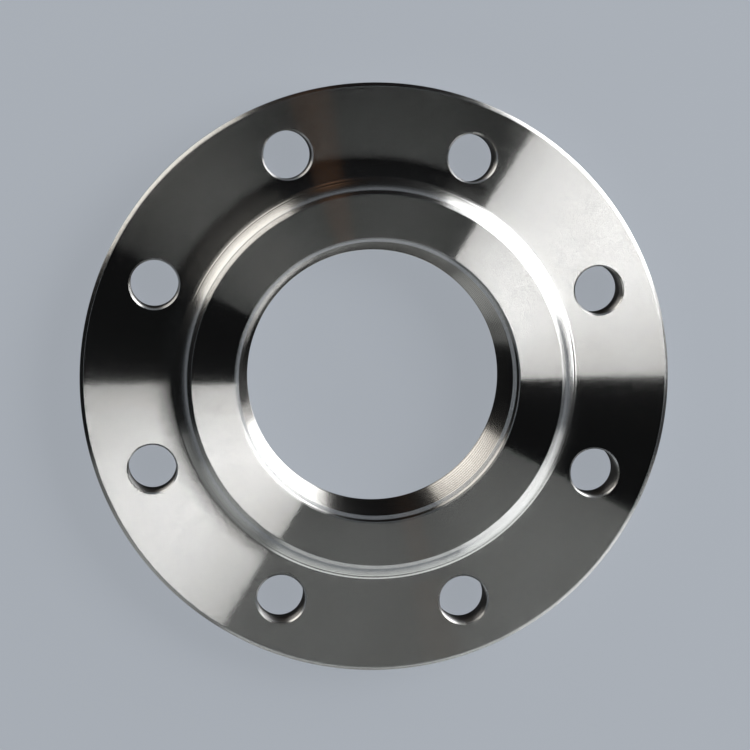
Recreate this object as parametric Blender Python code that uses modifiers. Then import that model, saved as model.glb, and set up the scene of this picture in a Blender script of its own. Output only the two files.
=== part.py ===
"""A socket weld flange, turned from one piece of stainless steel.

The flange lies on its gasket face with the hub up. The origin is the centre of that face and +Z runs
along the bore, towards the hub. Sizes are in metres.
"""

import math

import bpy

# Plate
OUTSIDE_DIAMETER = 0.221
PLATE_THICKNESS = 0.018
RIM_CHAMFER = 0.0014

# Gasket face, under the plate
RAISED_FACE_DIAMETER = 0.158
RAISED_FACE_HEIGHT = 0.002
RAISED_FACE_EDGE_BREAK = 0.0004

# Hub, on top of the plate
HUB_DIAMETER = 0.1416
HUB_HEIGHT = 0.008
HUB_CHAMFER_WIDTH = 0.0016
HUB_CHAMFER_DEPTH = 0.0020
ROOT_FILLET_RADIUS = 0.005

# Socket for the pipe end, sunk in the hub's face
SOCKET_DIAMETER = 0.1054
SOCKET_DEPTH = 0.006
SOCKET_EDGE_BREAK = 0.0005
SHOULDER_WIDTH = 0.0012
SHOULDER_DEPTH = 0.0018

# Tapered bore, from the socket's shoulder down to the gasket face
TAPER_MOUTH_DIAMETER = SOCKET_DIAMETER - 2 * SHOULDER_WIDTH
BORE_DIAMETER = 0.0954
BORE_EDGE_BREAK = 0.0006

# Bolt holes, on a circle that keeps its distance from the rim
BOLT_COUNT = 8
BOLT_CENTRE_TO_RIM = 0.0205
BOLT_CIRCLE_DIAMETER = OUTSIDE_DIAMETER - 2 * BOLT_CENTRE_TO_RIM
BOLT_HOLE_DIAMETER = 0.018
BOLT_HOLE_CHAMFER = 0.0006

# Smoothness of the round forms
TURNED_STEPS = 128
FILLET_STEPS = 8
HOLE_STEPS = 32
MERGE_DISTANCE = 0.00001
CUTTER_OVERRUN = 0.001
SHARP_ANGLE = math.radians(20)

PLATE_BACK = RAISED_FACE_HEIGHT
PLATE_TOP = PLATE_BACK + PLATE_THICKNESS
HUB_TOP = PLATE_TOP + HUB_HEIGHT

STEEL_COLOUR = (0.60, 0.59, 0.57, 1.0)
STEEL_ROUGHNESS = 0.28


def clear_scene():
    for existing in list(bpy.data.objects):
        bpy.data.objects.remove(existing, do_unlink=True)


def new_collection(name):
    collection = bpy.data.collections.new(name)
    bpy.context.scene.collection.children.link(collection)
    return collection


def turned_steel():
    material = bpy.data.materials.new("turned_steel")
    material.use_nodes = True
    shader = material.node_tree.nodes["Principled BSDF"]
    shader.inputs["Base Color"].default_value = STEEL_COLOUR
    shader.inputs["Metallic"].default_value = 1.0
    shader.inputs["Roughness"].default_value = STEEL_ROUGHNESS
    return material


def arc(centre, radius, start, end, steps):
    """Points along an arc in the profile's plane, both ends included. Angles are in degrees."""
    points = []
    for step in range(steps + 1):
        angle = math.radians(start + (end - start) * step / steps)
        points.append((centre[0] + radius * math.cos(angle), centre[1] + radius * math.sin(angle)))
    return points


def hub_outside():
    """Down the hub's outer side, and out along the root fillet to the plate."""
    radius = HUB_DIAMETER / 2
    room = HUB_HEIGHT - HUB_CHAMFER_DEPTH
    fillet = min(ROOT_FILLET_RADIUS, room)
    fillet_centre = (radius + fillet, PLATE_TOP + fillet)
    return [
        (radius - HUB_CHAMFER_WIDTH, HUB_TOP),
        (radius, HUB_TOP - HUB_CHAMFER_DEPTH),
        *arc(fillet_centre, fillet, 180, 270, FILLET_STEPS),
    ]


def rim():
    """Round the plate's rim, with both of its edges broken."""
    radius = OUTSIDE_DIAMETER / 2
    return [
        (radius - RIM_CHAMFER, PLATE_TOP),
        (radius, PLATE_TOP - RIM_CHAMFER),
        (radius, PLATE_BACK + RIM_CHAMFER),
        (radius - RIM_CHAMFER, PLATE_BACK),
    ]


def raised_face():
    """In along the plate's back, down to the gasket face and in to the bore."""
    radius = RAISED_FACE_DIAMETER / 2
    return [
        (radius, PLATE_BACK),
        (radius, RAISED_FACE_EDGE_BREAK),
        (radius - RAISED_FACE_EDGE_BREAK, 0),
        (BORE_DIAMETER / 2 + BORE_EDGE_BREAK, 0),
    ]


def bore_and_socket():
    """Up the tapered bore, over the sloping shoulder and up the socket's wall."""
    socket_floor = HUB_TOP - SOCKET_DEPTH
    return [
        (BORE_DIAMETER / 2, BORE_EDGE_BREAK),
        (TAPER_MOUTH_DIAMETER / 2, socket_floor - SHOULDER_DEPTH),
        (SOCKET_DIAMETER / 2, socket_floor),
        (SOCKET_DIAMETER / 2, HUB_TOP - SOCKET_EDGE_BREAK),
        (SOCKET_DIAMETER / 2 + SOCKET_EDGE_BREAK, HUB_TOP),
    ]


def without_doubles(points):
    """The profile with each point that repeats the one before it left out."""
    kept = []
    for point in points:
        if not kept or math.dist(point, kept[-1]) > MERGE_DISTANCE:
            kept.append(point)
    return kept


def turned(name, profile, steps, closed, collection):
    """A profile in the XZ plane turned once round Z. It is a closed loop, or starts and ends on the axis."""
    points = [(x, 0, z) for x, z in without_doubles(profile)]
    edges = [(index, index + 1) for index in range(len(points) - 1)]
    if closed:
        edges.append((len(points) - 1, 0))
    mesh = bpy.data.meshes.new(name)
    mesh.from_pydata(points, edges, [])
    solid = bpy.data.objects.new(name, mesh)
    collection.objects.link(solid)
    turn = solid.modifiers.new("turn", "SCREW")
    turn.axis = "Z"
    turn.angle = math.tau
    turn.steps = steps
    turn.render_steps = steps
    turn.use_merge_vertices = True
    turn.merge_threshold = MERGE_DISTANCE
    return solid


def hole_profile():
    """A bolt hole's cutter in section: a drill through the whole flange, with a cone for each chamfer.

    The cones sit at the plate's two faces and reach past them by the overrun.
    """
    radius = BOLT_HOLE_DIAMETER / 2
    flare = BOLT_HOLE_CHAMFER + CUTTER_OVERRUN
    top = PLATE_TOP + CUTTER_OVERRUN
    bottom = PLATE_BACK - CUTTER_OVERRUN
    return [
        (0, HUB_TOP + CUTTER_OVERRUN),
        (radius, HUB_TOP + CUTTER_OVERRUN),
        (radius, top),
        (radius + flare, top),
        (radius, top - flare),
        (radius, bottom + flare),
        (radius + flare, bottom),
        (radius, bottom),
        (radius, -CUTTER_OVERRUN),
        (0, -CUTTER_OVERRUN),
    ]


def drill_bolt_holes(body, cutters):
    """Cuts the bolt holes, evenly spaced on the bolt circle and straddling the centre lines."""
    for number in range(BOLT_COUNT):
        angle = math.tau * (number + 0.5) / BOLT_COUNT
        drill = turned(f"bolt_hole_drill_{number + 1}", hole_profile(), HOLE_STEPS, False, cutters)
        drill.location.x = BOLT_CIRCLE_DIAMETER / 2 * math.cos(angle)
        drill.location.y = BOLT_CIRCLE_DIAMETER / 2 * math.sin(angle)
        drill.rotation_euler.z = angle
        drill.hide_render = True
        drill.display_type = "WIRE"
        cut = body.modifiers.new(f"bolt_hole_{number + 1}", "BOOLEAN")
        cut.operation = "DIFFERENCE"
        cut.solver = "EXACT"
        cut.object = drill


def finish_surface(body):
    """Makes the turned and drilled form the body's own mesh, smooth but for its real edges."""
    graph = bpy.context.evaluated_depsgraph_get()
    mesh = bpy.data.meshes.new_from_object(body.evaluated_get(graph))
    mesh.name = body.name
    body.modifiers.clear()
    body.data = mesh
    mesh.shade_smooth()
    mesh.set_sharp_from_angle(angle=SHARP_ANGLE)


def flange(parts, cutters):
    profile = hub_outside() + rim() + raised_face() + bore_and_socket()
    body = turned("flange", profile, TURNED_STEPS, True, parts)
    drill_bolt_holes(body, cutters)
    finish_surface(body)
    body.data.materials.clear()
    body.data.materials.append(turned_steel())


clear_scene()
flange(new_collection("socket_weld_flange"), new_collection("cutters"))
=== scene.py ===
"""A socket weld flange, turned from one piece of stainless steel, in a plain studio.

The flange lies on its gasket face with the hub up. The origin is the centre of that face and +Z runs
along the bore, towards the hub. Sizes are in metres.
"""

import math

import bmesh
import bpy
from bpy.props import FloatProperty, FloatVectorProperty, IntProperty, PointerProperty
from mathutils import Matrix, Vector


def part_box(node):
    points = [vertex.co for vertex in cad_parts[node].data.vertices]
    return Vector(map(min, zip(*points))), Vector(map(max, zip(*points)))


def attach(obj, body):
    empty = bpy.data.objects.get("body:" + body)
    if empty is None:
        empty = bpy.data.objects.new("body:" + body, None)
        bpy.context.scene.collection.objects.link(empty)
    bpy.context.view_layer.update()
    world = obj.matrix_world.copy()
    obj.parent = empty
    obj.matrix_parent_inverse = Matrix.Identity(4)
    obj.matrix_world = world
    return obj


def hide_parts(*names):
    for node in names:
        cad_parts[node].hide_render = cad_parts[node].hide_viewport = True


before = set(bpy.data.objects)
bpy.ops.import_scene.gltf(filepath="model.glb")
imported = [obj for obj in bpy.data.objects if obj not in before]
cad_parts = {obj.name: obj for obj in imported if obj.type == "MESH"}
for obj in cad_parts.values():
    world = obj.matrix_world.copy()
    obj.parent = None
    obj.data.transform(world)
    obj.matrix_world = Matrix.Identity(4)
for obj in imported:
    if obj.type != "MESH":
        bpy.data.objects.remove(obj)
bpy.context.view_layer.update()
LOW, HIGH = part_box("flange")

bl_info = {
    "name": "Socket weld flange",
    "version": (1, 0, 0),
    "blender": (4, 5, 0),
    "location": "3D View > Sidebar > Flange",
    "description": "Builds a turned steel socket weld flange and a plain studio round it",
    "category": "Add Mesh",
}

MERGE_DISTANCE = 0.000002
RING_CORNER_ANGLE = math.radians(16)
SHARP_ANGLE = math.radians(36)
AXIS = Vector((0, 0, 1))
CENTRE = Vector((0, 0, 0))

# Roundings: the flats across each, and how far two of them reach as a share of their own height
ROOT_FLATS = 12
ROOT_ROUNDING = 0.55
CORNER_FLATS = 3
COVE_FLATS = 12
COVE_ROUNDING = 0.8

# Flats round the floor's turned-up edge
FLOOR_STEPS = 96

# A drill's face cuts a chamfer if its normal leans along the axis by more than this
CHAMFER_LEAN = 0.5

# Weight of height against radius on the way across the tool lines, so that they also cross steep walls
HEIGHT_WEIGHT = 1.7

# Tints of the lights
WHITE = (1.0, 1.0, 1.0)
WARM = (1.0, 0.955, 0.89)
COOL = (0.97, 1.0, 0.99)
ORANGE = (1.0, 0.5, 0.25)

# Places in the flange's list of materials
(TURNED_FACE, HUB_CHAMFER, ROOT_FILLET, RIM_CHAMFER, SOCKET_WALL, SHOULDER, BORE_WALL, GASKET_FACE,
 DRILLED_HOLE, HOLE_CHAMFER) = range(10)


def length(name, description, default):
    return FloatProperty(name=name, description=description, default=default, min=0,
                         precision=5, subtype="DISTANCE", unit="LENGTH")


def angle(name, description, degrees):
    return FloatProperty(name=name, description=description, default=math.radians(degrees),
                         subtype="ANGLE", unit="ROTATION")


def share(name, description, default):
    return FloatProperty(name=name, description=description, default=default, min=0, max=1,
                         subtype="FACTOR")


def number(name, description, default):
    return FloatProperty(name=name, description=description, default=default)


def count(name, description, default):
    return IntProperty(name=name, description=description, default=default, min=1)


def colour(name, description, default):
    return FloatVectorProperty(name=name, description=description, default=default, size=3,
                               min=0, max=1, subtype="COLOR")


class TurnedSizes(bpy.types.PropertyGroup):
    """The turned section: plate, gasket face, hub, socket and bore."""

    outside_diameter: length("Outside diameter", "Across the plate's rim", HIGH.x - LOW.x)
    total_height: length("Total height", "From the gasket face to the hub's face", HIGH.z - LOW.z)
    hub_height: length("Hub height", "From the plate up to the hub's face", 0.008)
    rim_chamfer: length("Rim chamfer", "Width and depth of both chamfers of the rim", 0.0014)
    raised_face_diameter: length("Raised face", "Across the gasket face", 0.158)
    raised_face_height: length("Raised face height", "How far the gasket face stands out", 0.002)
    raised_face_break: length("Raised face edge", "Broken edge of the gasket face", 0.0004)
    hub_diameter: length("Hub diameter", "Across the hub's side", 0.1416)
    hub_chamfer_width: length("Hub chamfer width", "Inwards from the hub's side", 0.0016)
    hub_chamfer_depth: length("Hub chamfer depth", "Down from the hub's face", 0.0020)
    root_width: length("Root width", "How far the root fillet runs out over the plate", 0.0047)
    root_height: length("Root height", "How far the root fillet climbs the hub's side", 0.0036)
    root_hollow: share("Root hollow", "How far the root fillet sags, from a cone to a square corner", 0.12)
    socket_diameter: length("Socket diameter", "Across the socket's wall", 0.1054)
    socket_depth: length("Socket depth", "From the hub's face down the socket's wall", 0.006)
    socket_break: length("Socket mouth", "Broken edge of the socket", 0.0005)
    shoulder_width: length("Shoulder width", "In from the socket's wall to the bore", 0.0012)
    shoulder_depth: length("Shoulder depth", "Height of the sloping shoulder", 0.0018)
    bore_diameter: length("Bore diameter", "Across the bore at the gasket face", 0.0954)
    bore_break: length("Bore edge", "Broken edge of the bore at the gasket face", 0.0006)
    corner_radius: length("Corner radius", "Rounding that the tool leaves on each corner", 0.00018)
    bore_groove_pitch: length("Bore groove pitch", "Feed of the roughing cut in the bore", 0.0023)
    bore_groove_depth: length("Bore groove depth", "Depth of the cut's grooves", 0.00008)
    gasket_groove_pitch: length("Gasket groove pitch", "Spacing of the gasket face's rings", 0.0008)
    gasket_groove_depth: length("Gasket groove depth", "Depth of those rings", 0.00004)
    turned_steps: count("Steps round", "Flats round each turned form", 256)


class BoltHoleSizes(bpy.types.PropertyGroup):
    """The ring of bolt holes."""

    holes: count("Bolt holes", "How many holes the bolt circle carries", 8)
    centre_to_rim: length("Centre to rim", "From a hole's centre out to the rim", 0.0205)
    diameter: length("Hole diameter", "Across a bolt hole", 0.018)
    chamfer: length("Hole chamfer", "Width and depth of the chamfer at both mouths", 0.0006)
    overrun: length("Overrun", "How far the drill runs past the metal", 0.001)
    steps: count("Steps round", "Flats round a bolt hole", 64)


class SteelFinish(bpy.types.PropertyGroup):
    """Colours and tool marks of the steel, and the painted shade of the bore's grooves and the bolt holes.
    """

    turned_colour: colour("Turned steel", "Colour of the turned faces", (0.60, 0.60, 0.59))
    bore_colour: colour("Bored steel", "Colour of the bore's wall", (0.60, 0.59, 0.57))
    gasket_colour: colour("Gasket face", "Colour of the grooved face", (0.60, 0.59, 0.58))
    # Painted shade: the bolt holes' walls take a darker colour than the turned steel, for the shade inside
    # them
    shaded_drilled_colour: colour("Drilled steel", "Colour inside the bolt holes", (0.30, 0.30, 0.30))
    mark_colour: colour("Handling marks", "Colour that handling leaves", (0.45, 0.43, 0.40))
    # Painted shade: the dark colour laid into the bottoms of the bore's grooves
    groove_shade_colour: colour("Tool lines", "Colour of the deepest lines in the bore", (0.22, 0.215, 0.21))
    fine_pitch: length("Fine feed", "Spacing of the finest tool lines", 0.00009)
    fine_slope: number("Fine slope", "Slope of the flanks of the finest tool lines", 0.60)
    gasket_slope: number("Gasket slope", "Slope of those flanks on the gasket face", 0.24)
    hole_lean: number("Hole lean", "How far the bolt holes' drill marks face upwards", 1.25)
    turned_roughness: share("Turned roughness", "Roughness of the turned faces", 0.08)
    edge_roughness: share("Edge roughness", "Roughness of the turned chamfers and the fillet", 0.16)
    bore_roughness: share("Bore roughness", "Roughness of the bore's wall", 0.15)
    gasket_roughness: share("Gasket roughness", "Roughness of the grooved face", 0.24)
    drilled_roughness: share("Drilled roughness", "Roughness inside the bolt holes", 0.36)
    chamfer_roughness: share("Hole chamfer roughness", "Roughness of the holes' chamfers", 0.24)


class StudioSettings(bpy.types.PropertyGroup):
    """Floor, lights and camera."""

    floor_radius: length("Floor radius", "From the flange to the floor's edge", 15.0)
    cove_radius: length("Cove radius", "Radius of the floor's turned-up edge", 2.4)
    floor_colour: colour("Floor", "Colour of the floor", (0.44, 0.475, 0.525))
    floor_glow: share("Floor glow", "Share of the floor's colour that no shadow darkens", 0.75)
    key_strength: number("Key light", "Brightness of the tall light on the right", 6.1)
    back_strength: number("Back light", "Brightness of the light at the back left", 4.0)
    front_strength: number("Front light", "Brightness of the low light at the front right", 3.0)
    fill_strength: number("Fill light", "Brightness of the wide dim lights at the front", 0.95)
    camera_distance: length("Camera distance", "From the plate's face to the camera", 1.009)
    camera_tilt: angle("Camera tilt", "How far the camera leans from straight above", 6.6)
    camera_azimuth: angle("Camera azimuth", "The side to which the camera leans", 132)
    camera_roll: angle("Camera roll", "Turn of the camera about its own axis", 1.0)
    camera_aim: FloatVectorProperty(name="Camera aim",
                                    description="Where the camera looks, on the plate's face",
                                    default=(-0.00055, 0.0016), size=2, precision=5, unit="LENGTH")
    lens: number("Lens", "Focal length in millimetres", 129.54)


def radius_of(point):
    return math.hypot(point.x, point.y)


def new_object(name, data):
    made = bpy.data.objects.new(name, data)
    bpy.context.scene.collection.objects.link(made)
    return made


def mesh_object(name, mesh, materials):
    """An object of a finished mesh, with its materials."""
    data = bpy.data.meshes.new(name)
    mesh.to_mesh(data)
    mesh.free()
    for material in materials:
        data.materials.append(material)
    return new_object(name, data)


def root_corner(sizes):
    """Radius and height of the corner that the root fillet rounds."""
    sag = (1 - sizes.root_hollow) / 2
    return (sizes.hub_diameter / 2 + sizes.root_width * sag,
            sizes.total_height - sizes.hub_height + sizes.root_height * sag)


def section_outline(sizes):
    """Corners of the section as surface, radius and height. A corner starts the surface that it names."""
    top = sizes.total_height
    plate_top = top - sizes.hub_height
    plate_back = sizes.raised_face_height
    hub = sizes.hub_diameter / 2
    rim = sizes.outside_diameter / 2
    face = sizes.raised_face_diameter / 2
    bore = sizes.bore_diameter / 2
    socket = sizes.socket_diameter / 2
    socket_floor = top - sizes.socket_depth
    return (
        ("hub_chamfer", hub - sizes.hub_chamfer_width, top),
        ("hub_side", hub, top - sizes.hub_chamfer_depth),
        ("upper_root", hub, plate_top + sizes.root_height),
        ("lower_root", *root_corner(sizes)),
        ("plate_face", hub + sizes.root_width, plate_top),
        ("upper_rim_chamfer", rim - sizes.rim_chamfer, plate_top),
        ("rim", rim, plate_top - sizes.rim_chamfer),
        ("lower_rim_chamfer", rim, plate_back + sizes.rim_chamfer),
        ("plate_back", rim - sizes.rim_chamfer, plate_back),
        ("raised_face_side", face, plate_back),
        ("raised_face_edge", face, sizes.raised_face_break),
        ("gasket_face", face - sizes.raised_face_break, 0),
        ("bore_edge", bore + sizes.bore_break, 0),
        ("bore_wall", bore, sizes.bore_break),
        ("shoulder", socket - sizes.shoulder_width, socket_floor - sizes.shoulder_depth),
        ("socket_wall", socket, socket_floor),
        ("socket_mouth", socket, top - sizes.socket_break),
        ("hub_face", socket + sizes.socket_break, top),
    )


def draw_outline(mesh, outline):
    """Draws a closed outline in the XZ plane and returns its edges by the surface they stand for."""
    surfaces = [surface for surface, radius, height in outline]
    corners = [mesh.verts.new((radius, 0, height)) for surface, radius, height in outline]
    following = corners[1:] + corners[:1]
    return {surface: mesh.edges.new(ends) for surface, *ends in zip(surfaces, corners, following)}


def groove(mesh, edge, pitch, depth, into_metal):
    """Cuts evenly spaced V grooves along one edge of the section."""
    grooves = round(edge.calc_length() / pitch)
    start = edge.verts[0].co.copy()
    divided = bmesh.ops.subdivide_edges(mesh, edges=[edge], cuts=2 * grooves - 1)
    points = [item for item in divided["geom_inner"] if isinstance(item, bmesh.types.BMVert)]
    points.sort(key=lambda point: (point.co - start).length)
    bottoms = points[0::2]
    bmesh.ops.translate(mesh, verts=bottoms, vec=into_metal * depth)


def turn(mesh, steps):
    """Turns the section once round the bore's axis."""
    bmesh.ops.spin(mesh, geom=mesh.verts[:] + mesh.edges[:], cent=CENTRE, axis=AXIS,
                   angle=math.tau, steps=steps, use_merge=True)
    bmesh.ops.remove_doubles(mesh, verts=mesh.verts, dist=MERGE_DISTANCE)
    bmesh.ops.recalc_face_normals(mesh, faces=mesh.faces)


def is_ring(edge):
    """Whether an edge runs round the axis, at one height and one radius."""
    first, second = (vertex.co for vertex in edge.verts)
    climb = abs(first.z - second.z)
    spread = abs(radius_of(first) - radius_of(second))
    return climb < MERGE_DISTANCE and spread < MERGE_DISTANCE


def round_root(mesh, sizes):
    """Rounds the hollow between the hub's side and the plate's face."""
    radius, height = root_corner(sizes)
    root = []
    for edge in mesh.edges:
        corner = edge.verts[0].co
        if is_ring(edge) and math.isclose(corner.z, height, abs_tol=MERGE_DISTANCE):
            if math.isclose(radius_of(corner), radius, abs_tol=MERGE_DISTANCE):
                root.append(edge)
    bmesh.ops.bevel(mesh, geom=root, offset=sizes.root_height * ROOT_ROUNDING, offset_type="OFFSET",
                    affect="EDGES", segments=ROOT_FLATS, profile=0.5, material=-1)


def round_corners(mesh, radius):
    """Takes the edge off each turned corner, as a tool's nose does."""
    corners = [edge for edge in mesh.edges
               if is_ring(edge) and edge.calc_face_angle(0) > RING_CORNER_ANGLE]
    bmesh.ops.bevel(mesh, geom=corners, offset=radius, offset_type="OFFSET", affect="EDGES",
                    segments=CORNER_FLATS, profile=0.5, material=-1, clamp_overlap=True)


def finish_zones(sizes):
    """The finishes by span of radius and span of height. What lies in no zone is finely turned."""
    top = sizes.total_height
    plate_top = top - sizes.hub_height
    hub = sizes.hub_diameter / 2
    rim = sizes.outside_diameter / 2
    rim_start = rim - sizes.rim_chamfer
    socket = sizes.socket_diameter / 2
    bore_mouth = socket - sizes.shoulder_width
    wall_start = socket - sizes.shoulder_width / 4
    wall_end = socket + sizes.socket_break / 4
    socket_floor = top - sizes.socket_depth
    shoulder_foot = socket_floor - sizes.shoulder_depth
    return (
        (HUB_CHAMFER, hub - sizes.hub_chamfer_width, hub, top - sizes.hub_chamfer_depth, top),
        (ROOT_FILLET, hub, hub + sizes.root_width, plate_top, plate_top + sizes.root_height),
        (RIM_CHAMFER, rim_start, rim, plate_top - sizes.rim_chamfer, plate_top),
        (RIM_CHAMFER, rim_start, rim, 0, sizes.raised_face_height + sizes.rim_chamfer),
        (SOCKET_WALL, wall_start, wall_end, socket_floor, top),
        (SHOULDER, bore_mouth, socket, shoulder_foot, socket_floor),
        (BORE_WALL, 0, bore_mouth, sizes.bore_break, socket_floor),
        (GASKET_FACE, 0, sizes.raised_face_diameter / 2, -MERGE_DISTANCE, sizes.bore_break / 2),
    )


def give_surfaces_their_finish(mesh, sizes):
    """Sets each turned face's material by where it lies on the section."""
    zones = finish_zones(sizes)
    for face in mesh.faces:
        middle = face.calc_center_median()
        radius = radius_of(middle)
        face.material_index = TURNED_FACE
        for finish, inner, outer, low, high in zones:
            if inner < radius < outer and low < middle.z < high:
                face.material_index = finish
                break


def turned_body(sizes, materials):
    """The flange before its bolt holes are drilled."""
    outwards = Vector((1, 0, 0))
    mesh = bmesh.new()
    edges = draw_outline(mesh, section_outline(sizes))
    groove(mesh, edges["bore_wall"], sizes.bore_groove_pitch, sizes.bore_groove_depth, outwards)
    groove(mesh, edges["gasket_face"], sizes.gasket_groove_pitch, sizes.gasket_groove_depth, AXIS)
    turn(mesh, sizes.turned_steps)
    round_root(mesh, sizes)
    round_corners(mesh, sizes.corner_radius)
    give_surfaces_their_finish(mesh, sizes)
    return mesh_object("turned_flange", mesh, materials)


def drill(name, place, sizes, holes, materials):
    """A drill the shape of one bolt hole, with a cone for the chamfer at each face of the plate."""
    plate_top = sizes.total_height - sizes.hub_height
    plate_back = sizes.raised_face_height
    radius = holes.diameter / 2
    cone = holes.chamfer + holes.overrun
    upper = plate_top + holes.overrun
    lower = plate_back - holes.overrun
    outline = (
        (0, upper),
        (radius + cone, upper),
        (radius, upper - cone),
        (radius, lower + cone),
        (radius + cone, lower),
        (0, lower),
    )
    mesh = bmesh.new()
    corners = [mesh.verts.new((across, 0, height)) for across, height in outline]
    for first, second in zip(corners, corners[1:]):
        mesh.edges.new((first, second))
    turn(mesh, holes.steps)
    bmesh.ops.translate(mesh, verts=mesh.verts, vec=place)
    for face in mesh.faces:
        face.material_index = HOLE_CHAMFER if abs(face.normal.z) > CHAMFER_LEAN else DRILLED_HOLE
    return mesh_object(name, mesh, materials)


def keep_modifiers(piece):
    """Makes the modified form the piece's own mesh."""
    graph = bpy.context.evaluated_depsgraph_get()
    data = bpy.data.meshes.new_from_object(piece.evaluated_get(graph))
    piece.modifiers.clear()
    plain = piece.data
    piece.data = data
    bpy.data.meshes.remove(plain)
    data.name = piece.name


def drill_bolt_holes(body, sizes, holes, materials):
    """Drills the ring of holes, which straddle the centre lines."""
    circle = sizes.outside_diameter / 2 - holes.centre_to_rim
    drills = []
    for index in range(holes.holes):
        turned = math.tau * (index + 0.5) / holes.holes
        place = Vector((circle * math.cos(turned), circle * math.sin(turned), 0))
        cutter = drill(f"drill_{index + 1}", place, sizes, holes, materials)
        cut = body.modifiers.new(cutter.name, "BOOLEAN")
        cut.operation = "DIFFERENCE"
        cut.solver = "EXACT"
        cut.object = cutter
        drills.append(cutter)
    keep_modifiers(body)
    for cutter in drills:
        bpy.data.objects.remove(cutter)


def smooth_surface(body):
    """Smooth shading, sharp only at real corners, with the wide flat faces kept flat."""
    body.data.shade_smooth()
    body.data.set_sharp_from_angle(angle=SHARP_ANGLE)
    weighted = body.modifiers.new("flat_faces_lead", "WEIGHTED_NORMAL")
    weighted.mode = "FACE_AREA"
    weighted.keep_sharp = True
    keep_modifiers(body)


class FLANGE_OT_turned_flange(bpy.types.Operator):
    """Builds the flange in one piece: turned section, bolt holes and steel finishes"""

    bl_idname = "flange.turned_flange"
    bl_label = "Turned flange"

    def execute(self, context):
        sizes = context.scene.flange_sizes
        holes = context.scene.flange_holes
        materials = steel_finishes(context.scene.flange_finish, sizes)
        body = turned_body(sizes, materials)
        drill_bolt_holes(body, sizes, holes, materials)
        smooth_surface(body)
        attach(body, "root")
        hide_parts("flange")
        return {"FINISHED"}


def new_group(name, inputs, outputs):
    """A shader node group with named sockets. Returns the group, its inputs' node and its outputs' node."""
    group = bpy.data.node_groups.new(name, "ShaderNodeTree")
    for label, kind, default in inputs:
        socket = group.interface.new_socket(name=label, in_out="INPUT", socket_type=kind)
        socket.default_value = default
    for label, kind in outputs:
        group.interface.new_socket(name=label, in_out="OUTPUT", socket_type=kind)
    return group, group.nodes.new("NodeGroupInput").outputs, group.nodes.new("NodeGroupOutput").inputs


def feed(tree, socket, value):
    """Links a socket to another, or sets its value."""
    if isinstance(value, bpy.types.NodeSocket):
        tree.links.new(value, socket)
    elif value is not None:
        socket.default_value = value


def maths(tree, operation, first, second=None, third=None, clamp=False):
    node = tree.nodes.new("ShaderNodeMath")
    node.operation = operation
    node.use_clamp = clamp
    for socket, value in zip(node.inputs, (first, second, third)):
        feed(tree, socket, value)
    return node.outputs[0]


def vector_maths(tree, operation, first, second=None, scale=None):
    node = tree.nodes.new("ShaderNodeVectorMath")
    node.operation = operation
    feed(tree, node.inputs[0], first)
    feed(tree, node.inputs[1], second)
    feed(tree, node.inputs[3], scale)
    return node.outputs[1 if operation in {"LENGTH", "DOT_PRODUCT"} else 0]


def noise(tree, place, detail, roughness=0.5, scale=1.0):
    node = tree.nodes.new("ShaderNodeTexNoise")
    feed(tree, node.inputs["Vector"], place)
    feed(tree, node.inputs["Scale"], scale)
    node.inputs["Detail"].default_value = detail
    node.inputs["Roughness"].default_value = roughness
    return node.outputs["Fac"]


def ramp(tree, value, low, high):
    """Nought below one value and one above another, with a smooth rise between them."""
    node = tree.nodes.new("ShaderNodeMapRange")
    node.interpolation_type = "SMOOTHSTEP"
    feed(tree, node.inputs["Value"], value)
    node.inputs["From Min"].default_value = low
    node.inputs["From Max"].default_value = high
    return node.outputs["Result"]


def blend_colours(tree, amount, first, second):
    node = tree.nodes.new("ShaderNodeMix")
    node.data_type = "RGBA"
    feed(tree, node.inputs["Factor"], amount)
    feed(tree, node.inputs[6], first)
    feed(tree, node.inputs[7], second)
    return node.outputs[2]


def object_place(tree):
    return tree.nodes.new("ShaderNodeTexCoord").outputs["Object"]


def height_in(tree, place):
    return vector_maths(tree, "DOT_PRODUCT", place, (0, 0, 1))


def level_part(tree, place):
    return vector_maths(tree, "MULTIPLY", place, (1, 1, 0))


def path_across_lines(tree, place):
    """How far a point lies across the tool lines, out over the faces and up the walls."""
    radius = vector_maths(tree, "LENGTH", level_part(tree, place))
    return maths(tree, "MULTIPLY_ADD", height_in(tree, place), HEIGHT_WEIGHT, radius)


def place_round_axis(tree, place, round_scale, across_scale):
    """Coordinates that run slowly round the axis and fast across the tool lines."""
    outwards = vector_maths(tree, "NORMALIZE", level_part(tree, place))
    around = vector_maths(tree, "SCALE", outwards, scale=round_scale)
    across = tree.nodes.new("ShaderNodeCombineXYZ")
    path = path_across_lines(tree, place)
    feed(tree, across.inputs["Z"], maths(tree, "MULTIPLY", path, across_scale))
    return vector_maths(tree, "ADD", around, across.outputs["Vector"])


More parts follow.
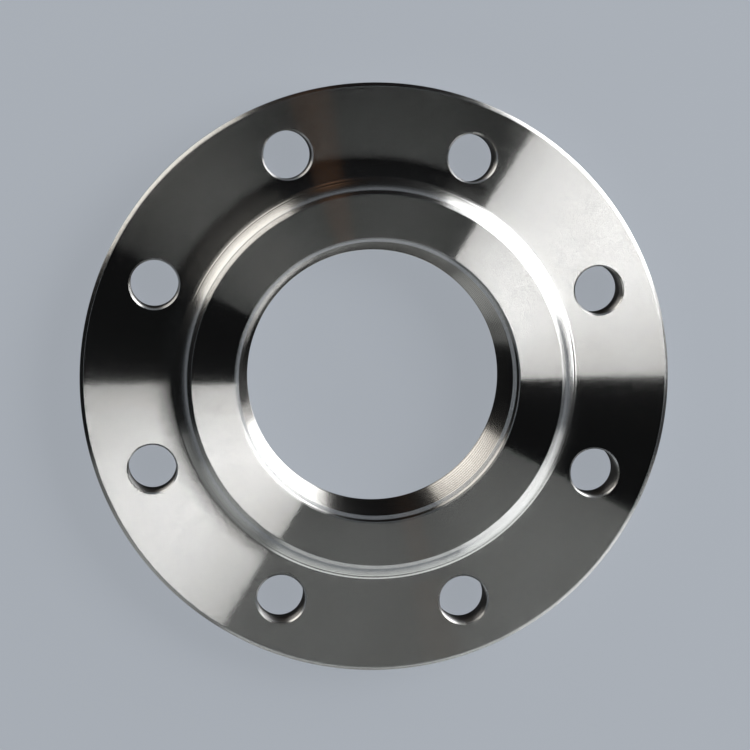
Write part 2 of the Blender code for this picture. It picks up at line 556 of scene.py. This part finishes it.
def tool_lines_group():
    """Fine grooves that a lathe tool leaves, as a tilt of the surface across them."""
    group, given, result = new_group(
        "tool_lines",
        [("Pitch", "NodeSocketFloat", 0.0001),
         ("Slope", "NodeSocketFloat", 0.3),
         ("Lean", "NodeSocketFloat", 0.0),
         ("Unevenness", "NodeSocketFloat", 0.1)],
        [("Normal", "NodeSocketVector"), ("Rings", "NodeSocketFloat")],
    )
    place = object_place(group)
    round_axis = place_round_axis(group, place, round_scale=0.8, across_scale=1500)
    rings = noise(group, round_axis, detail=3.0, roughness=0.6)
    lines_passed = maths(group, "DIVIDE", path_across_lines(group, place), given["Pitch"])
    teeth = maths(group, "FRACT", lines_passed)
    flank = maths(group, "MULTIPLY_ADD", teeth, 2.0, -1.0)
    uneven = maths(group, "MULTIPLY", maths(group, "SUBTRACT", rings, 0.5), given["Unevenness"])
    slope = maths(group, "MULTIPLY", flank, given["Slope"])
    tilt = maths(group, "MULTIPLY_ADD", slope, maths(group, "ADD", 1.0, uneven), given["Lean"])
    normal = group.nodes.new("ShaderNodeTexCoord").outputs["Normal"]
    along = vector_maths(group, "NORMALIZE", vector_maths(group, "CROSS_PRODUCT", (0, 0, 1), place))
    across = vector_maths(group, "CROSS_PRODUCT", along, normal)
    bent = vector_maths(group, "ADD", normal, vector_maths(group, "SCALE", across, scale=tilt))
    to_world = group.nodes.new("ShaderNodeVectorTransform")
    to_world.vector_type = "NORMAL"
    to_world.convert_from = "OBJECT"
    to_world.convert_to = "WORLD"
    feed(group, to_world.inputs[0], bent)
    feed(group, result["Normal"], to_world.outputs[0])
    feed(group, result["Rings"], rings)
    return group


def handling_marks_group():
    """Soft patches that hands, oil and storage leave on the steel."""
    group, given, result = new_group(
        "handling_marks",
        [("Patch Scale", "NodeSocketFloat", 30.0)],
        [("Patches", "NodeSocketFloat"), ("Streaks", "NodeSocketFloat")],
    )
    place = object_place(group)
    patches = noise(group, place, detail=4.0, scale=given["Patch Scale"])
    feed(group, result["Patches"], ramp(group, patches, low=0.42, high=0.72))
    round_axis = place_round_axis(group, place, round_scale=9.0, across_scale=900)
    streaks = noise(group, round_axis, detail=2.0, roughness=0.7)
    feed(group, result["Streaks"], ramp(group, streaks, low=0.66, high=0.78))
    return group


def place_group(tree, group, **values):
    node = tree.nodes.new("ShaderNodeGroup")
    node.node_tree = group
    for label, value in values.items():
        feed(tree, node.inputs[label.replace("_", " ").title()], value)
    return node.outputs


def steel(name):
    """A new metal material. Returns it with its node tree and its shader."""
    material = bpy.data.materials.new(name)
    material.use_nodes = True
    tree = material.node_tree
    shader = tree.nodes["Principled BSDF"]
    shader.inputs["Metallic"].default_value = 1.0
    return material, tree, shader


def opaque(rgb):
    return (*rgb, 1.0)


def marked_or_shaded_colour(tree, shader, marks, amount, clean, marked):
    """Steel that takes up to a share of a second colour where it is marked, or where painted shade darkens
    it.
    """
    share_of_marks = maths(tree, "MULTIPLY", marks, amount)
    blend = blend_colours(tree, share_of_marks, opaque(clean), opaque(marked))
    feed(tree, shader.inputs["Base Color"], blend)


def marked_roughness(tree, shader, marks, amount, clean):
    """Steel that is rougher by up to an amount where it is marked."""
    feed(tree, shader.inputs["Roughness"], maths(tree, "MULTIPLY_ADD", marks, amount, clean))


def turned_face(finish, lines, marks):
    """The finely turned faces: plate, hub face and rim."""
    material, tree, shader = steel("turned_face")
    tool = place_group(tree, lines, pitch=finish.fine_pitch, slope=finish.fine_slope,
                       lean=-0.02, unevenness=0.08)
    worn = place_group(tree, marks, patch_scale=30.0)
    ring_weight = 1.5
    ringed = maths(tree, "MULTIPLY_ADD", tool["Rings"], ring_weight, worn["Patches"])
    marked_or_shaded_colour(tree, shader, ringed, amount=0.18, clean=finish.turned_colour, marked=finish.mark_colour)
    marked_roughness(tree, shader, worn["Streaks"], amount=0.02, clean=finish.turned_roughness)
    feed(tree, shader.inputs["Normal"], tool["Normal"])
    return material


def cut_edge(name, finish, lines, marks, slope, lean):
    """A chamfer, fillet or short wall, cut in one pass of the tool."""
    material, tree, shader = steel(name)
    tool = place_group(tree, lines, pitch=finish.fine_pitch, slope=slope, lean=lean, unevenness=0.2)
    worn = place_group(tree, marks, patch_scale=45.0)
    marked_or_shaded_colour(tree, shader, worn["Patches"], amount=0.15, clean=finish.turned_colour,
                  marked=finish.mark_colour)
    marked_roughness(tree, shader, worn["Streaks"], amount=0.04, clean=finish.edge_roughness)
    feed(tree, shader.inputs["Normal"], tool["Normal"])
    return material


def bore_wall(finish, lines, sizes):
    """The bore's wall, left by a coarser cut, with painted shade darkening the bottom of each groove."""
    material, tree, shader = steel("bore_wall")
    tool = place_group(tree, lines, pitch=finish.fine_pitch, slope=0.05, lean=0.90, unevenness=0.8)
    low = sizes.bore_break
    high = sizes.total_height - sizes.socket_depth - sizes.shoulder_depth
    widening = (sizes.socket_diameter - sizes.bore_diameter) / 2 - sizes.shoulder_width
    grooves = round(math.hypot(high - low, widening) / sizes.bore_groove_pitch)
    rise = (high - low) / grooves
    feeds = maths(tree, "MULTIPLY_ADD", height_in(tree, object_place(tree)), 1 / rise, -low / rise)
    # Painted shade: the bottom of each groove in the bore is darkened towards the line colour
    shaded_valleys = ramp(tree, maths(tree, "PINGPONG", feeds, 0.5), low=0.26, high=0.44)
    marked_or_shaded_colour(tree, shader, shaded_valleys, amount=0.6, clean=finish.bore_colour, marked=finish.groove_shade_colour)
    spread = 0.06
    marked_roughness(tree, shader, tool["Rings"], amount=spread, clean=finish.bore_roughness - spread / 2)
    feed(tree, shader.inputs["Normal"], tool["Normal"])
    return material


def gasket_face(finish, lines, marks):
    """The gasket face, cut with rings that grip the gasket."""
    material, tree, shader = steel("gasket_face")
    tool = place_group(tree, lines, pitch=finish.fine_pitch, slope=finish.gasket_slope, unevenness=0.5)
    worn = place_group(tree, marks, patch_scale=24.0)
    marked_or_shaded_colour(tree, shader, worn["Patches"], amount=0.25, clean=finish.gasket_colour,
                  marked=finish.mark_colour)
    marked_roughness(tree, shader, worn["Patches"], amount=0.06, clean=finish.gasket_roughness)
    feed(tree, shader.inputs["Normal"], tool["Normal"])
    return material


def drilled_hole(finish, marks):
    """The bolt holes' walls, with the drill's marks running round them and painted shade in their dark
    colour.
    """
    material, tree, shader = steel("drilled_hole")
    squeezed = vector_maths(tree, "MULTIPLY", object_place(tree), (60, 60, 5200))
    rings = noise(tree, squeezed, detail=2.0, roughness=0.6)
    worn = place_group(tree, marks, patch_scale=90.0)
    # Painted shade: the walls' own colour is darkened for the shade inside the holes, with handling marks
    # over it
    marked_or_shaded_colour(tree, shader, worn["Patches"], amount=0.15, clean=finish.shaded_drilled_colour,
                  marked=finish.mark_colour)
    spread = 0.12
    marked_roughness(tree, shader, rings, amount=spread, clean=finish.drilled_roughness - spread / 2)
    normal = tree.nodes.new("ShaderNodeNewGeometry").outputs["Normal"]
    bump = tree.nodes.new("ShaderNodeBump")
    bump.inputs["Strength"].default_value = 0.35
    bump.inputs["Distance"].default_value = 0.00006
    feed(tree, bump.inputs["Height"], rings)
    feed(tree, bump.inputs["Normal"], vector_maths(tree, "ADD", normal, (0, 0, finish.hole_lean)))
    feed(tree, shader.inputs["Normal"], bump.outputs["Normal"])
    return material


def hole_chamfer(finish, marks):
    """The cleanly cut chamfers at the bolt holes' mouths."""
    material, tree, shader = steel("hole_chamfer")
    worn = place_group(tree, marks, patch_scale=120.0)
    marked_or_shaded_colour(tree, shader, worn["Patches"], amount=0.2, clean=finish.turned_colour,
                  marked=finish.mark_colour)
    marked_roughness(tree, shader, worn["Patches"], amount=0.06, clean=finish.chamfer_roughness)
    return material


def steel_finishes(finish, sizes):
    """All the finishes, in the order of their places in the flange's list of materials."""
    lines = tool_lines_group()
    marks = handling_marks_group()
    return (
        turned_face(finish, lines, marks),
        cut_edge("hub_chamfer", finish, lines, marks, slope=0.12, lean=-0.34),
        cut_edge("root_fillet", finish, lines, marks, slope=0.12, lean=-0.08),
        cut_edge("rim_chamfer", finish, lines, marks, slope=0.06, lean=-0.26),
        cut_edge("socket_wall", finish, lines, marks, slope=0.08, lean=1.3),
        cut_edge("shoulder", finish, lines, marks, slope=0.40, lean=0.10),
        bore_wall(finish, lines, sizes),
        gasket_face(finish, lines, marks),
        drilled_hole(finish, marks),
        hole_chamfer(finish, marks),
    )


def seen_directly_or_in_metal(tree):
    """One for rays from the camera or off and through a glossy or clear surface, else nought."""
    path = tree.nodes.new("ShaderNodeLightPath")
    seen = maths(tree, "MAXIMUM", path.outputs["Is Camera Ray"], path.outputs["Is Glossy Ray"])
    return maths(tree, "MAXIMUM", seen, path.outputs["Is Transmission Ray"])


def floor_finish(studio):
    """A pale floor that keeps part of its brightness in shadow."""
    material = bpy.data.materials.new("studio_floor")
    material.use_nodes = True
    tree = material.node_tree
    shader = tree.nodes["Principled BSDF"]
    lit = [channel * (1 - studio.floor_glow) for channel in studio.floor_colour]
    shader.inputs["Base Color"].default_value = opaque(lit)
    shader.inputs["Roughness"].default_value = 0.9
    shader.inputs["Specular IOR Level"].default_value = 0.0
    shader.inputs["Emission Color"].default_value = opaque(studio.floor_colour)
    glow = maths(tree, "MULTIPLY", seen_directly_or_in_metal(tree), studio.floor_glow)
    feed(tree, shader.inputs["Emission Strength"], glow)
    return material


def studio_floor(studio):
    """A wide round floor whose far edge turns up."""
    mesh = bmesh.new()
    centre = mesh.verts.new((0, 0, 0))
    foot = mesh.verts.new((studio.floor_radius, 0, 0))
    lip = mesh.verts.new((studio.floor_radius, 0, studio.cove_radius))
    mesh.edges.new((centre, foot))
    mesh.edges.new((foot, lip))
    turn(mesh, FLOOR_STEPS)
    foot_ring = [edge for edge in mesh.edges
                 if is_ring(edge) and edge.verts[0].co.z < MERGE_DISTANCE
                 and radius_of(edge.verts[0].co) > studio.floor_radius / 2]
    bmesh.ops.bevel(mesh, geom=foot_ring, offset=studio.cove_radius * COVE_ROUNDING,
                    offset_type="OFFSET", affect="EDGES", segments=COVE_FLATS, profile=0.5, material=-1)
    bmesh.ops.recalc_face_normals(mesh, faces=mesh.faces)
    if sum(face.normal.z for face in mesh.faces) < 0:
        bmesh.ops.reverse_faces(mesh, faces=mesh.faces)
    floor = mesh_object("studio_floor", mesh, [floor_finish(studio)])
    floor.data.shade_smooth()


def view_slant(studio):
    """The level part of the way from the flange to the camera, per metre."""
    side = math.sin(studio.camera_tilt)
    return Vector((side * math.cos(studio.camera_azimuth), side * math.sin(studio.camera_azimuth), 0))


def soft_glow(light, centre_share):
    """Makes a panel light fade from its middle to its two ends."""
    light.use_nodes = True
    tree = light.node_tree
    emission = tree.nodes["Emission"]
    panel = tree.nodes.new("ShaderNodeNewGeometry")
    split = tree.nodes.new("ShaderNodeSeparateXYZ")
    feed(tree, split.inputs[0], panel.outputs["Parametric"])
    offset = maths(tree, "MULTIPLY_ADD", split.outputs["X"], 2.0, -1.0)
    hump = maths(tree, "SUBTRACT", 1.0, maths(tree, "MULTIPLY", offset, offset), clamp=True)
    glow = maths(tree, "MULTIPLY_ADD", hump, centre_share, 1.0 - centre_share)
    feed(tree, emission.inputs["Strength"], glow)


def panel_light(studio, name, azimuths, tilts, distance, strength, centre_share=0.0, tint=WHITE):
    """A soft panel whose reflection fills a sector of the turned faces, between two azimuths on them.

    Seen from the flange it reaches from one tilt to another, from straight up. As the camera leans to
    one side, the panel stands off to the other side and leans with it, which keeps the sector's edges sharp.
    """
    start, end = (math.radians(azimuth) for azimuth in azimuths)
    heading = (start + end) / 2
    half_width = distance * math.tan((end - start) / 2)
    top, bottom = (distance / math.tan(math.radians(tilt)) for tilt in tilts)
    middle = (top + bottom) / 2
    reach = math.hypot(distance, half_width, middle)
    slant = view_slant(studio)
    upwards = (AXIS - slant * middle / reach).normalized()
    outwards = Vector((math.cos(heading), math.sin(heading), 0))
    sideways = upwards.cross(outwards).normalized()
    back = sideways.cross(upwards).normalized()
    light = bpy.data.lights.new(name, "AREA")
    light.shape = "RECTANGLE"
    light.size = 2 * half_width
    light.size_y = (top - bottom) / upwards.z
    light.energy = strength * math.pi * light.size * light.size_y
    light.color = tint
    soft_glow(light, centre_share)
    panel = new_object(name, light)
    centre = outwards * distance + AXIS * middle - slant * reach
    facing = Matrix((sideways, upwards, back)).transposed()
    panel.matrix_world = Matrix.Translation(centre) @ facing.to_4x4()
    panel.visible_camera = False


def key_lights(studio):
    """The tall light on the right, in three panels from high to low."""
    key = studio.key_strength
    panel_light(studio, "key_light", azimuths=(1.0, 58.8), tilts=(34, 60.5), distance=1.6,
                strength=key, centre_share=0.38)
    panel_light(studio, "mid_key_light", azimuths=(12, 64), tilts=(64, 68), distance=1.4,
                strength=key * 0.8, centre_share=0.45)
    panel_light(studio, "low_key_light", azimuths=(20, 70), tilts=(68, 88.8), distance=1.4,
                strength=key * 0.8, centre_share=0.45)


def back_lights(studio):
    """The light at the back left, which reaches the fillet and the chamfers, and its dim upper end."""
    back = studio.back_strength
    panel_light(studio, "back_glow", azimuths=(121, 152), tilts=(54, 62), distance=1.0,
                strength=back * 0.08, centre_share=0.8, tint=WARM)
    panel_light(studio, "back_light", azimuths=(118, 155), tilts=(65, 80), distance=1.0,
                strength=back * 0.55, centre_share=0.2, tint=WARM)
    panel_light(studio, "low_back_light", azimuths=(119, 158), tilts=(80, 88.8), distance=1.0,
                strength=back * 0.3, centre_share=0.3, tint=WARM)


def fill_lights(studio):
    """The wide dim lights at the front, and a narrow warm one at the back."""
    fill = studio.fill_strength
    panel_light(studio, "warm_glow", azimuths=(100.5, 109), tilts=(46, 62), distance=1.1,
                strength=fill * 0.22, centre_share=0.5, tint=ORANGE)
    panel_light(studio, "left_fill", azimuths=(196, 240), tilts=(44, 70), distance=1.2,
                strength=fill * 0.25, tint=COOL)
    panel_light(studio, "front_fill", azimuths=(240, 286), tilts=(52, 68), distance=1.2,
                strength=fill * 1.25, tint=COOL)
    panel_light(studio, "right_fill", azimuths=(286, 333), tilts=(53, 70), distance=1.2,
                strength=fill * 1.45, centre_share=0.15, tint=COOL)
    panel_light(studio, "low_left_fill", azimuths=(206, 233), tilts=(70, 82), distance=1.1,
                strength=fill * 0.6, centre_share=0.5, tint=COOL)
    panel_light(studio, "low_fill", azimuths=(240, 299), tilts=(74, 88.8), distance=1.1,
                strength=fill * 0.15, tint=COOL)


def front_light(studio):
    """The low light at the front right."""
    panel_light(studio, "front_light", azimuths=(298, 345), tilts=(76, 88.8), distance=1.0,
                strength=studio.front_strength * 0.75, centre_share=0.5)


def studio_world():
    world = bpy.data.worlds.new("studio_world")
    world.use_nodes = True
    background = world.node_tree.nodes["Background"]
    background.inputs["Color"].default_value = (0.9, 0.95, 1.0, 1.0)
    background.inputs["Strength"].default_value = 0.008
    bpy.context.scene.world = world


def studio_camera(studio, plate_top):
    """A camera over the flange, leaning a little to one side."""
    tilt, side = studio.camera_tilt, studio.camera_azimuth
    back = Vector((math.sin(tilt) * math.cos(side), math.sin(tilt) * math.sin(side), math.cos(tilt)))
    right = Vector((0, 1, 0)).cross(back).normalized()
    up = back.cross(right)
    turned = Matrix((right, up, back)).transposed() @ Matrix.Rotation(studio.camera_roll, 3, "Z")
    lens = bpy.data.cameras.new("camera")
    lens.sensor_width = 36
    lens.lens = studio.lens
    lens.clip_start = 0.05
    lens.clip_end = 100
    camera = new_object("camera", lens)
    aim = Vector((studio.camera_aim[0], studio.camera_aim[1], plate_top))
    camera.matrix_world = Matrix.Translation(aim + back * studio.camera_distance) @ turned.to_4x4()
    bpy.context.scene.camera = camera


class FLANGE_OT_studio(bpy.types.Operator):
    """Builds the floor, the soft lights and the camera"""

    bl_idname = "flange.studio"
    bl_label = "Studio"

    def execute(self, context):
        studio = context.scene.flange_studio
        sizes = context.scene.flange_sizes
        studio_floor(studio)
        key_lights(studio)
        back_lights(studio)
        fill_lights(studio)
        front_light(studio)
        studio_world()
        studio_camera(studio, sizes.total_height - sizes.hub_height)
        context.scene.view_settings.view_transform = "Standard"
        return {"FINISHED"}


class FLANGE_PT_sidebar(bpy.types.Panel):
    """Sizes, finishes and studio of the flange"""

    bl_label = "Socket weld flange"
    bl_space_type = "VIEW_3D"
    bl_region_type = "UI"
    bl_category = "Flange"

    def draw(self, context):
        layout = self.layout
        scene = context.scene
        for group in (scene.flange_sizes, scene.flange_holes, scene.flange_finish):
            self.draw_group(group)
        layout.operator(FLANGE_OT_turned_flange.bl_idname)
        self.draw_group(scene.flange_studio)
        layout.operator(FLANGE_OT_studio.bl_idname)

    def draw_group(self, group):
        box = self.layout.box()
        for name in group.__annotations__:
            box.prop(group, name)


CLASSES = (
    TurnedSizes,
    BoltHoleSizes,
    SteelFinish,
    StudioSettings,
    FLANGE_OT_turned_flange,
    FLANGE_OT_studio,
    FLANGE_PT_sidebar,
)


def register():
    for cls in CLASSES:
        bpy.utils.register_class(cls)
    bpy.types.Scene.flange_sizes = PointerProperty(type=TurnedSizes)
    bpy.types.Scene.flange_holes = PointerProperty(type=BoltHoleSizes)
    bpy.types.Scene.flange_finish = PointerProperty(type=SteelFinish)
    bpy.types.Scene.flange_studio = PointerProperty(type=StudioSettings)


def unregister():
    del bpy.types.Scene.flange_studio
    del bpy.types.Scene.flange_finish
    del bpy.types.Scene.flange_holes
    del bpy.types.Scene.flange_sizes
    for cls in reversed(CLASSES):
        bpy.utils.unregister_class(cls)


def main():
    register()
    bpy.ops.flange.turned_flange()
    bpy.ops.flange.studio()


if __name__ == "__main__":
    main()
